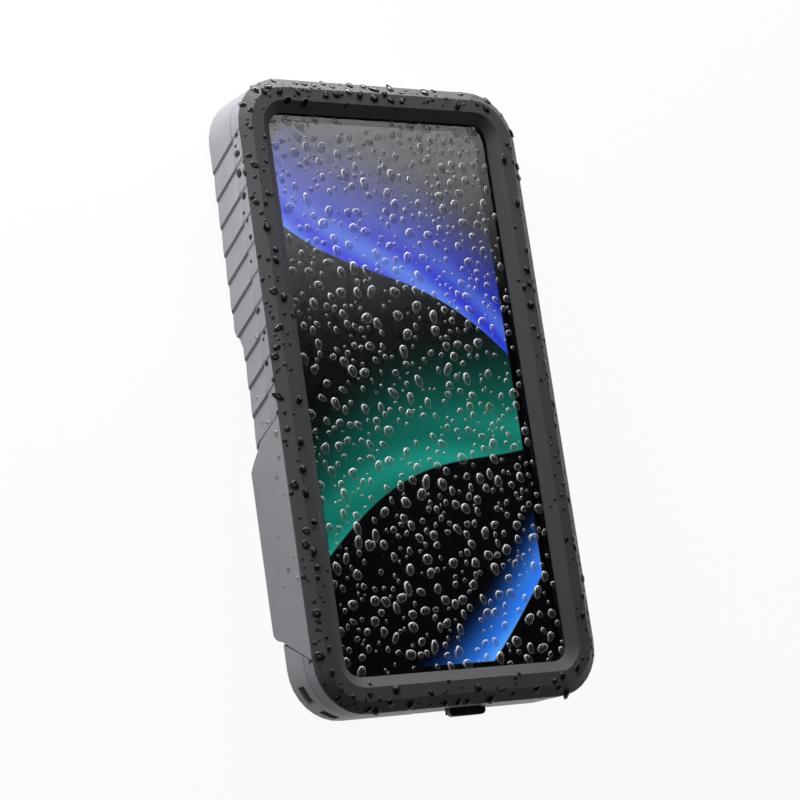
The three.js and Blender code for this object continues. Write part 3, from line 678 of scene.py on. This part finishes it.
@dataclass
class Dresser:
    """Copies a solid of the frame, breaks its edges and gives it a finish."""

    merge_mm: float = 0.004
    flat_deg: float = 1.0
    sharp_deg: float = 24.0

    def dress(
        self,
        node: str,
        body: Body,
        slot: Slot,
        material: bpy.types.Material,
        bevel_mm: float = 0.25,
        segments: int = 2,
    ) -> bpy.types.Object:
        """Makes the visible piece that stands for a solid.

        Args:
            node: the solid's name.
            body: the body that it moves with.
            slot: the finish's name, which is not used.
            material: its material.
            bevel_mm: the width of its broken edges, or 0 for none.
            segments: the facets across a broken edge.

        Returns:
            The new piece.
        """
        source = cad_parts[node]
        mesh = bmesh.new()
        mesh.from_mesh(source.data)
        bmesh.ops.remove_doubles(mesh, verts=mesh.verts, dist=self.merge_mm * MM)
        bmesh.ops.dissolve_limit(
            mesh,
            angle_limit=math.radians(self.flat_deg),
            verts=mesh.verts,
            edges=mesh.edges,
        )
        for face in mesh.faces:
            face.smooth = True
        for edge in mesh.edges:
            edge.smooth = edge.calc_face_angle(0.0) < math.radians(self.sharp_deg)
        made = link_mesh(node + "_skin", mesh)
        made.data.materials.append(material)
        if bevel_mm:
            bevel = made.modifiers.new("edges", "BEVEL")
            bevel.limit_method = "ANGLE"
            bevel.angle_limit = math.radians(self.sharp_deg)
            bevel.width = bevel_mm * MM
            bevel.segments = segments
            bevel.harden_normals = True
            bevel.use_clamp_overlap = True
        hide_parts(node)
        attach(made, body.value)
        log.info("dressed %s", node)
        return made


def give(node: str, material: bpy.types.Material) -> None:
    """Gives a solid of the frame its material."""
    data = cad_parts[node].data
    data.materials.clear()
    data.materials.append(material)


@dataclass
class Casing:
    """The rear shell, the front frame, the clasp and the port flap."""

    # The shell's grey is partly the plastic's own tone and partly painted light: it is lifted above the
    # frame's charcoal so the side walls, clasp and flap read as lit.
    shell_colour: Colour = (0.195, 0.197, 0.215, 1.0)
    frame_colour: Colour = (0.052, 0.0522, 0.056, 1.0)
    dresser: Dresser = field(default_factory=Dresser)

    def build(self) -> None:
        """Dresses the four casings and their small parts."""
        low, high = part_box("front_frame")
        length_low, length_high = low.y / MM, high.y / MM
        left = low.x / MM
        frame_half = Vector((FRAME_WIDTH_MM / 2, (length_high - length_low) / 2))
        centre = (left + frame_half.x, (length_low + length_high) / 2)
        grey_plastic = MouldedPlastic("grey_plastic", self.shell_colour).build()
        # Painted light: the frame's skirt is given the shell's lighter grey so its side faces read as lit.
        frame_plastic = FramePlastic(
            "charcoal_plastic",
            self.frame_colour,
            skirt=self.shell_colour,
            centre=centre,
            half=tuple(frame_half),
            index=1.3,
        ).build()
        plate_plastic = MouldedPlastic("plate_plastic", self.frame_colour).build()
        rubber = Rubber().build()
        steel = Steel().build()
        self.dresser.dress("rear_shell", Body.SHELL, Slot.SHELL, grey_plastic, 0.2)
        self.dresser.dress("front_frame", Body.FRAME, Slot.FRAME, frame_plastic, 0.3)
        self.dresser.dress("side_clasp", Body.CLASP, Slot.SHELL, grey_plastic, 0.3)
        self.dresser.dress("port_flap", Body.FLAP, Slot.SHELL, grey_plastic, 0.15)
        self.dresser.dress("port_seal", Body.FLAP, Slot.RUBBER, rubber, 0.25, 3)
        self.dresser.dress("mount_plate", Body.SHELL, Slot.FRAME, plate_plastic, 0.2)
        give("window_retainer", plate_plastic)
        give("rim_gasket", rubber)
        for pin in ("hinge_pin_upper", "hinge_pin_lower", "clasp_pin", "flap_pin"):
            give(pin, steel)
        for number in range(1, 5):
            give(f"mount_screw_{number}", steel)


@dataclass
class Contents:
    """The foam, the phone and the window over it."""

    border_mm: float = 2.1

    def build(self) -> None:
        """Gives the solids inside the case their finishes."""
        foam = Foam().build()
        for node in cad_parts:
            if node.endswith("_foam") or "_pad_" in node:
                give(node, foam)
        give("phone_body", PhoneMetal().build())
        low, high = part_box("phone_display")
        middle = (low + high) / (2 * MM)
        half = (high - low) / (2 * MM)
        display = Display(
            centre=(middle.x, middle.y),
            half=(half.x - self.border_mm, half.y - self.border_mm),
        )
        give("phone_display", display.build())
        give("window_panel", ClearWindow().build())


@dataclass
class DropField:
    """Drops of water on one surface.

    A drop's height is its flatness times its radius. Sizes is the power that favours small
    drops, wobble how irregular they are, and fullness the shape of the dome.
    """

    name: str
    body: Body
    count: int
    radii_mm: tuple[float, float]
    place: Callable[[random.Random], tuple[Vector, Vector] | None]
    water: bpy.types.Material
    flatness: float = 0.5
    sizes: float = 1.6
    wobble: float = 0.2
    fullness: float = 2.0


@dataclass
class WaterDrops:
    """Drops that sit on the window, the frame and the left side."""

    seed: int = 7
    segments: int = 12
    rings: int = 8
    foot: float = 0.1
    lean: float = 0.45
    spacing: float = 1.14
    lift_mm: float = 0.02
    ceiling_mm: float = 21.6
    tries: int = 30
    window_inset_mm: float = 10.5
    edge_spread_mm: float = 3.4
    edge_inset_mm: float = 0.4

    def surface(self, node: str) -> BVHTree:
        """A solid's surface for finding where drops sit."""
        mesh = bmesh.new()
        mesh.from_mesh(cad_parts[node].data)
        tree = BVHTree.FromBMesh(mesh)
        mesh.free()
        return tree

    def template(self, fullness: float) -> bmesh.types.BMesh:
        """Makes a dome of unit radius on a flat base.

        Args:
            fullness: 2 for a round dome, and more for a flatter top with steeper sides.

        Returns:
            The dome.
        """
        dome = bmesh.new()
        bmesh.ops.create_uvsphere(dome, u_segments=self.segments, v_segments=self.rings, radius=1.0)
        for vert in dome.verts:
            across = min(1.0, math.hypot(vert.co.x, vert.co.y))
            height = (1 - across ** fullness) ** (1 / fullness)
            vert.co.z = math.copysign(height, vert.co.z) if abs(vert.co.z) > 1e-6 else 0.0
        bmesh.ops.bisect_plane(
            dome,
            geom=[*dome.verts, *dome.edges, *dome.faces],
            plane_co=(0.0, 0.0, -self.foot),
            plane_no=(0.0, 0.0, 1.0),
            clear_inner=True,
        )
        rim = [edge for edge in dome.edges if edge.is_boundary]
        base = set(bmesh.ops.holes_fill(dome, edges=rim, sides=0)["faces"])
        bmesh.ops.recalc_face_normals(dome, faces=dome.faces)
        drop_map = dome.loops.layers.uv.new(DROP_MAP)
        for face in dome.faces:
            for loop in face.loops:
                x, y = loop.vert.co.xy
                across = math.hypot(x, y)
                lower = 0.5 - 0.5 * y / max(across, 1e-6)
                loop[drop_map].uv = (0.0, 0.0) if face in base else (across, lower)
        return dome

    def drop(
        self,
        template: bmesh.types.BMesh,
        rng: random.Random,
        point: Vector,
        normal: Vector,
        radius: float,
        spec: DropField,
    ) -> bmesh.types.BMesh:
        """Makes one drop.

        Args:
            template: the dome that it starts from.
            rng: the source of its irregular outline.
            point: the middle of its base.
            normal: the surface's normal.
            radius: its mean radius.
            spec: the field that it belongs to.

        Returns:
            The drop in its place.
        """
        made = template.copy()
        flatness = spec.flatness * rng.uniform(0.8, 1.15)
        most = spec.wobble
        lobes = [(k, rng.uniform(-most, most) / k, rng.uniform(0, math.tau)) for k in (1, 2, 3)]
        stretch = rng.uniform(0.9, 1.3)
        for vert in made.verts:
            angle = math.atan2(vert.co.y, vert.co.x)
            grow = 1 + sum(size * math.cos(k * angle + start) for k, size, start in lobes)
            vert.co.x *= grow / stretch
            vert.co.y *= grow * stretch
            vert.co.z *= flatness
        facing = normal.to_track_quat("Z", "Y").to_matrix().to_4x4()
        spin = Matrix.Rotation(rng.gauss(0, self.lean), 4, "Z")
        lift = self.lift_mm * MM + self.foot * flatness * radius
        made.transform(Matrix.Translation(point + normal * lift) @ facing @ spin @ Matrix.Scale(radius, 4))
        over = max(vert.co.z for vert in made.verts) - self.ceiling_mm * MM
        if over > 0:
            made.transform(Matrix.Translation(Vector((0, 0, -over))))
        return made

    def scatter(self, spec: DropField) -> bpy.types.Object:
        """Scatters one field of drops that don't touch.

        Args:
            spec: where, how many and of what water.

        Returns:
            The piece that holds them.
        """
        rng = random.Random(f"{self.seed}-{spec.name}")
        template = self.template(spec.fullness)
        mesh = bmesh.new()
        single = bpy.data.meshes.new("drop")
        kept: list[tuple[Vector, float]] = []
        small, large = spec.radii_mm
        shares = sorted((rng.random() ** spec.sizes for _ in range(spec.count)), reverse=True)
        for share in shares:
            radius = (small + (large - small) * share) * MM
            found = self.free_place(spec, rng, kept, radius)
            if not found:
                continue
            point, normal = found
            kept.append((point, radius))
            made = self.drop(template, rng, point, normal, radius, spec)
            made.to_mesh(single)
            made.free()
            mesh.from_mesh(single)
        bpy.data.meshes.remove(single)
        template.free()
        for face in mesh.faces:
            face.smooth = True
        piece = link_mesh(spec.name, mesh)
        piece.data.materials.append(spec.water)
        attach(piece, spec.body.value)
        log.info("%s: %d drops", spec.name, len(kept))
        return piece

    def free_place(
        self,
        spec: DropField,
        rng: random.Random,
        kept: Sequence[tuple[Vector, float]],
        radius: float,
    ) -> tuple[Vector, Vector] | None:
        """Looks for a place that is clear of the drops so far.

        Args:
            spec: the field of drops.
            rng: the source of places.
            kept: the drops so far, each with its place and radius.
            radius: the new drop's radius.

        Returns:
            A place and its normal, or None if no try finds one.
        """
        for _ in range(self.tries):
            found = spec.place(rng)
            if found is None:
                continue
            reach = [(found[0] - other).length / (radius + size) for other, size in kept]
            if not reach or min(reach) > self.spacing:
                return found
        return None

    def down(self, tree: BVHTree, x: float, y: float, steep: float = 0.3) -> tuple[Vector, Vector] | None:
        """Finds the surface below a point, unless it is too steep."""
        point, normal, _, _ = tree.ray_cast(Vector((x, y, 0.1)), Vector((0, 0, -1)))
        return (point, normal) if point is not None and normal.z > steep else None

    def build(self) -> None:
        """Scatters the drops on each surface."""
        clear, dark = Water().build(), DarkWater().build()
        window, rim, side = (self.surface(n) for n in ("window_panel", "front_frame", "rear_shell"))
        clasp = self.surface("side_clasp")
        low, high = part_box("front_frame")
        inset = self.window_inset_mm * MM
        right = low.x + FRAME_WIDTH_MM * MM

        def on_window(rng: random.Random) -> tuple[Vector, Vector] | None:
            """A place on the window."""
            x = rng.uniform(low.x + inset, right - inset)
            y = rng.uniform(low.y + inset, high.y - inset)
            return self.down(window, x, y)

        def on_frame(rng: random.Random) -> tuple[Vector, Vector] | None:
            """A place on the frame's chamfer, land or inner wall."""
            depth = abs(rng.gauss(0, self.edge_spread_mm)) * MM + self.edge_inset_mm * MM
            along = rng.random()
            edge = rng.choice(("left", "left", "top", "top", "right", "right", "bottom"))
            y = low.y + along * (high.y - low.y)
            x = low.x + along * (right - low.x)
            places = {
                "left": (low.x + depth, y),
                "right": (right - depth, y),
                "top": (x, high.y - depth),
                "bottom": (x, low.y + depth),
            }
            return self.down(rim, *places[edge], steep=0.5)

        def on_side(tree: BVHTree, span: tuple[float, float], heights: tuple[float, float]) -> Callable:
            """A finder of places on the left side."""

            def find(rng: random.Random) -> tuple[Vector, Vector] | None:
                """A place on the left side."""
                start = Vector((-0.2, rng.uniform(*span) * MM, rng.uniform(*heights) * MM))
                point, normal, _, _ = tree.ray_cast(start, Vector((1, 0, 0)))
                return (point, normal) if point is not None and normal.x < -0.8 else None

            return find

        on_skirt = on_side(rim, (-75, 80), (15.2, 18.6))
        on_shell = on_side(side, (-8, 20), (8, 13.5))
        on_clasp = on_side(clasp, (-70, -10), (10, 18))
        fields = [
            DropField(
                "window_drops",
                Body.FRAME,
                900,
                (0.45, 1.7),
                on_window,
                clear,
                flatness=0.4,
                sizes=1.5,
                wobble=0.3,
                fullness=2.4,
            ),
            DropField(
                "frame_drops",
                Body.FRAME,
                300,
                (0.4, 1.5),
                on_frame,
                dark,
                flatness=0.32,
                sizes=2.2,
                wobble=0.4,
            ),
            DropField(
                "skirt_drops", Body.FRAME, 30, (0.5, 1.4), on_skirt, dark, flatness=0.35, wobble=0.4
            ),
            DropField("shell_drops", Body.SHELL, 6, (0.4, 0.9), on_shell, clear),
            DropField("clasp_drops", Body.CLASP, 9, (0.5, 1.1), on_clasp, clear),
        ]
        for spec in fields:
            self.scatter(spec)


@dataclass(frozen=True)
class Glow:
    """A soft round patch of light in the sky."""

    aim: tuple[float, float, float]
    spread_deg: tuple[float, float]
    level: float

    def light(self, sky: Graph, where: bpy.types.NodeSocket) -> Expr:
        """Its level in each direction.

        Args:
            sky: the world's builder.
            where: the direction.

        Returns:
            The level, which fades from the inner angle to the outer one.
        """
        aim = Vector(self.aim).normalized()
        along = sky.node("ShaderNodeVectorMath", {"operation": "DOT_PRODUCT"}, i0=where, i1=aim)
        near, far = (math.cos(math.radians(angle)) for angle in self.spread_deg)
        return sky.smooth(Expr(sky, along.outputs["Value"]), far, near) * self.level


@dataclass(frozen=True)
class SoftBox:
    """A soft lamp that faces the case, placed and sized in metres, with its power in watts."""

    name: str
    place: tuple[float, float, float]
    size: tuple[float, float]
    power: float


@dataclass
class Studio:
    """The camera, the lamps, the world and the floor."""

    place_mm: tuple[float, float, float] = (-418.59, -143.19, 600.0)
    turn_deg: tuple[float, float, float] = (16.769, -33.174, -9.874)
    lens_mm: float = 115.77
    pale: float = 0.3
    overhead: float = 0.01
    horizon: tuple[float, float] = (0.1, 0.45)
    backdrop: tuple[float, float] = (0.16, 0.22)
    floor_half_m: float = 15.0
    boxes: tuple[SoftBox, ...] = (
        SoftBox("left_box", (-0.22, 0.29, 0.072), (0.2, 0.13), 1.85),
        SoftBox("top_box", (0.10, 0.62, 0.11), (0.5, 0.18), 5.0),
    )
    glows: tuple[Glow, ...] = (
        Glow((0.50, 0.50, 0.70), (9.0, 17.5), 4.2),
        Glow((-0.60, 0.12, 0.79), (8.0, 24.0), 1.2),
    )

    def camera(self) -> None:
        """Makes the camera."""
        data = bpy.data.cameras.new("camera")
        data.sensor_fit = "HORIZONTAL"
        data.sensor_width = 36.0
        data.lens = self.lens_mm
        camera = bpy.data.objects.new("camera", data)
        camera.location = Vector(self.place_mm) * MM
        camera.rotation_euler = [math.radians(angle) for angle in self.turn_deg]
        bpy.context.scene.collection.objects.link(camera)
        bpy.context.scene.camera = camera

    def lamp(self, box: SoftBox) -> None:
        """Adds a soft box.

        Args:
            box: the lamp.
        """
        data = bpy.data.lights.new(box.name, "AREA")
        data.shape = "RECTANGLE"
        data.size, data.size_y = box.size
        data.energy = box.power
        lamp = bpy.data.objects.new(box.name, data)
        place = Vector(box.place)
        lamp.location = place
        lamp.rotation_euler = (-place).to_track_quat("-Z", "Y").to_euler()
        lamp.visible_camera = False
        bpy.context.scene.collection.objects.link(lamp)

    def world(self) -> None:
        """Makes a dark sky that is pale near the horizon, with the soft glows and the backdrop."""
        world = bpy.data.worlds.new("studio")
        world.use_nodes = True
        sky = Graph(world.node_tree)
        where = sky.node("ShaderNodeTexCoord").outputs["Generated"]
        height = Expr(sky, sky.node("ShaderNodeSeparateXYZ", i0=where).outputs[2])
        pale = 1.0 - sky.smooth(height, *self.horizon)
        level = self.overhead + pale * (self.pale - self.overhead)
        for glow in self.glows:
            level = level + glow.light(sky, where)
        seen = sky.seen() * (1.0 - sky.smooth(height, *self.backdrop))
        level = level * (1.0 - seen) + seen
        background = sky.node("ShaderNodeBackground", Color=grey(1.0), Strength=level)
        sky.node("ShaderNodeOutputWorld", Surface=background.outputs[0])
        bpy.context.scene.world = world

    def floor(self) -> None:
        """Lays the floor."""
        mesh = bmesh.new()
        bmesh.ops.create_grid(mesh, x_segments=1, y_segments=1, size=self.floor_half_m)
        floor = link_mesh("floor", mesh)
        floor.data.materials.append(PaleFloor().build())

    def build(self) -> None:
        """Sets up the whole studio."""
        bpy.context.scene.view_settings.view_transform = "Standard"
        self.camera()
        self.world()
        self.floor()
        for box in self.boxes:
            self.lamp(box)


def main() -> None:
    """Builds the studio and every piece."""
    logging.basicConfig(level=logging.INFO)
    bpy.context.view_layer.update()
    Studio().build()
    Casing().build()
    Contents().build()
    WaterDrops().build()


if __name__ == "__main__":
    main()
